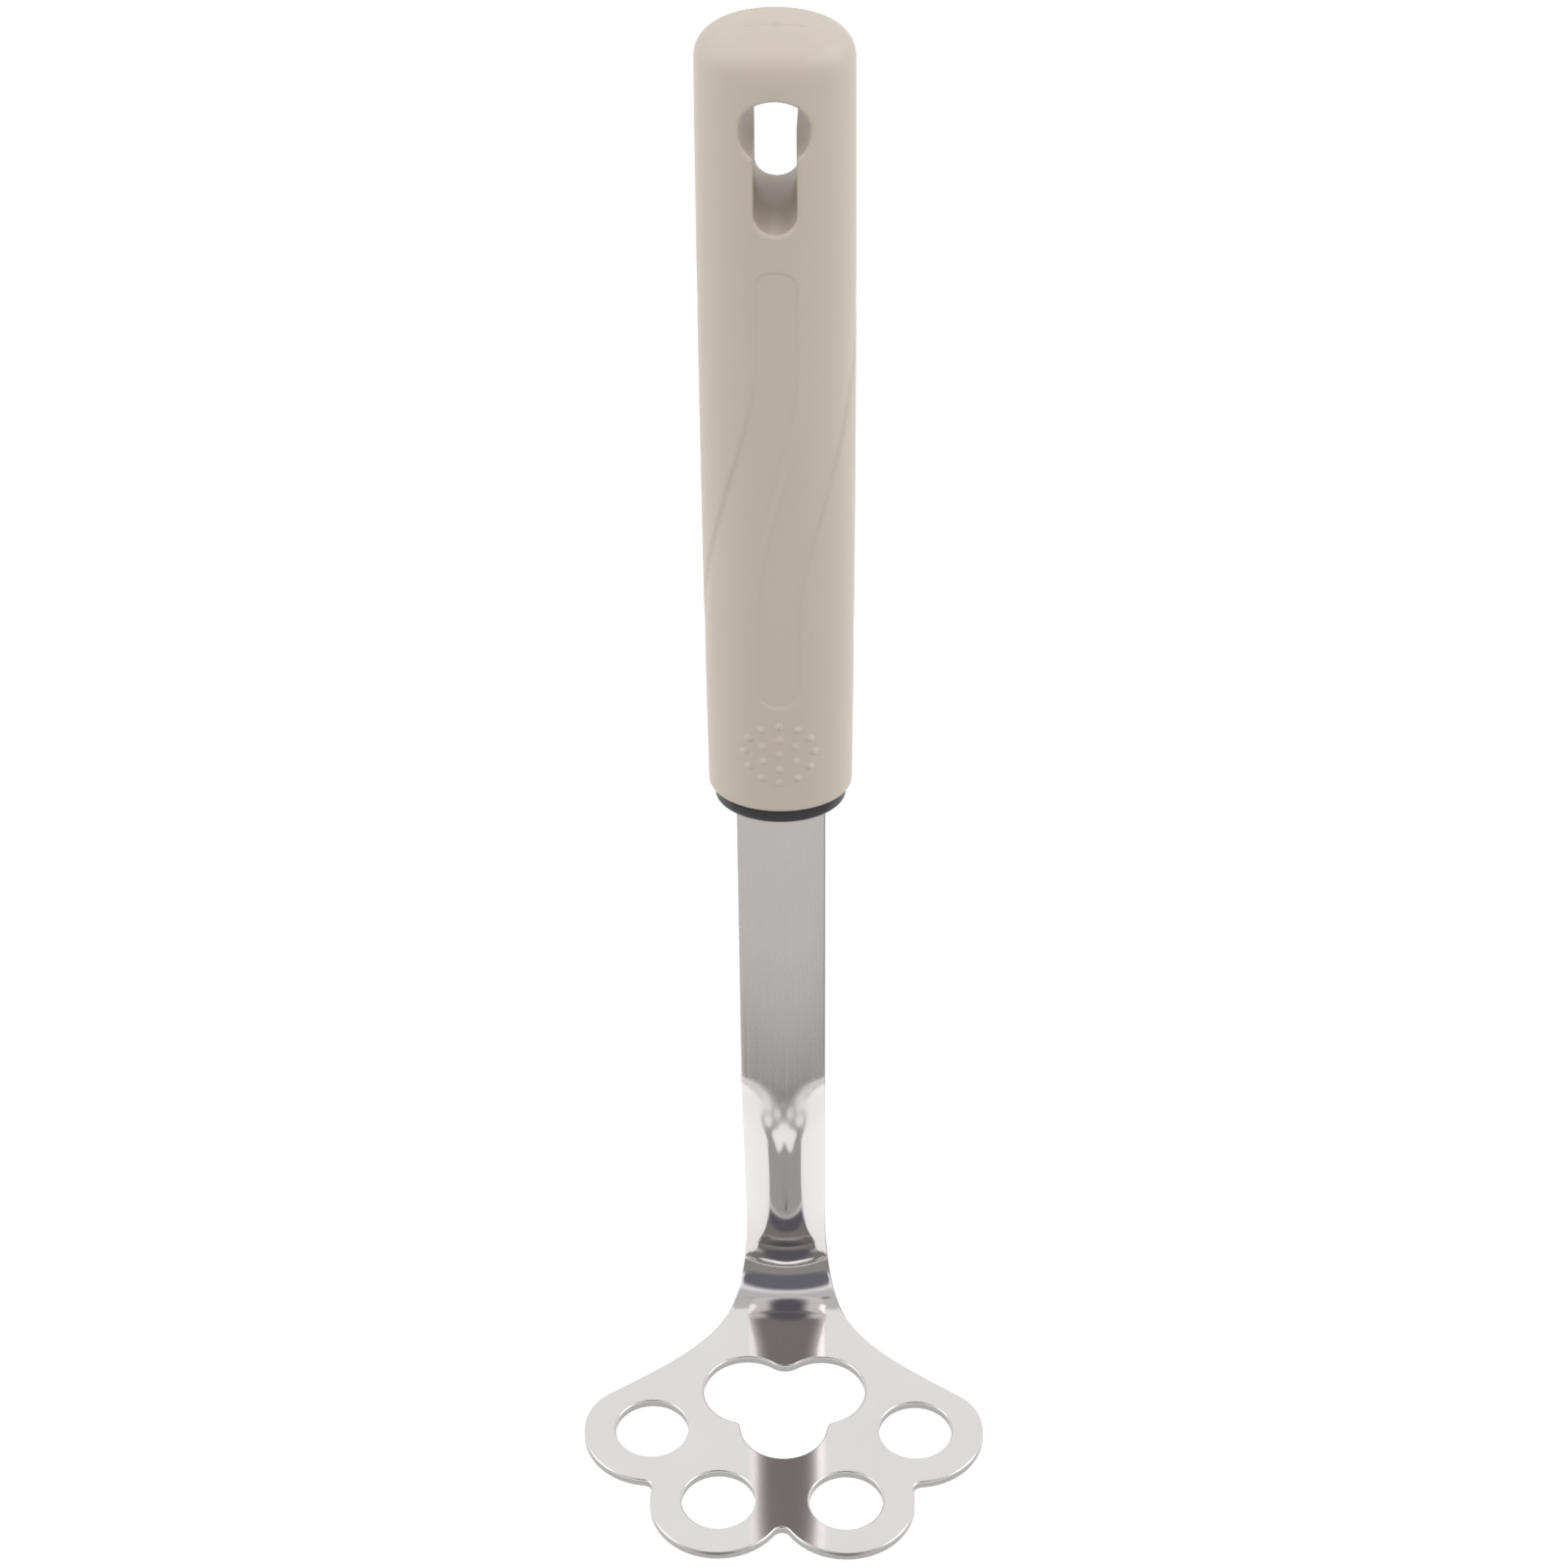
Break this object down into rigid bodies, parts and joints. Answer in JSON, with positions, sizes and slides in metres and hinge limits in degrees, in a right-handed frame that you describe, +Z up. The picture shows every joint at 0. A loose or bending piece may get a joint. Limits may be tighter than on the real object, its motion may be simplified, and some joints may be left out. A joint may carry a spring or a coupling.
{
  "type": "hand masher",
  "caption": "Hand masher: one bent stainless sheet forms a pierced paw-shaped plate and its stem, held in an oval plastic handle with a hang slot.",
  "frame": {"origin": "on the surface that the plate's underside rests on, under the middle of the bounding box", "axes": "+Z up along the handle, -Y towards the toe of the plate, +X to the right seen from the toe side"},
  "size_m": [0.066, 0.062, 0.2566],
  "materials": {
    "stainless_steel": "bright rolled sheet, polished low on the stem and satin above",
    "beige_plastic": "fine satin moulding",
    "black_plastic": "satin moulding"
  },
  "bodies": {
    "root": {"masher_blade": "stainless_steel", "handle_grip": "beige_plastic", "ferrule_plug": "black_plastic"}
  },
  "joints": []
}
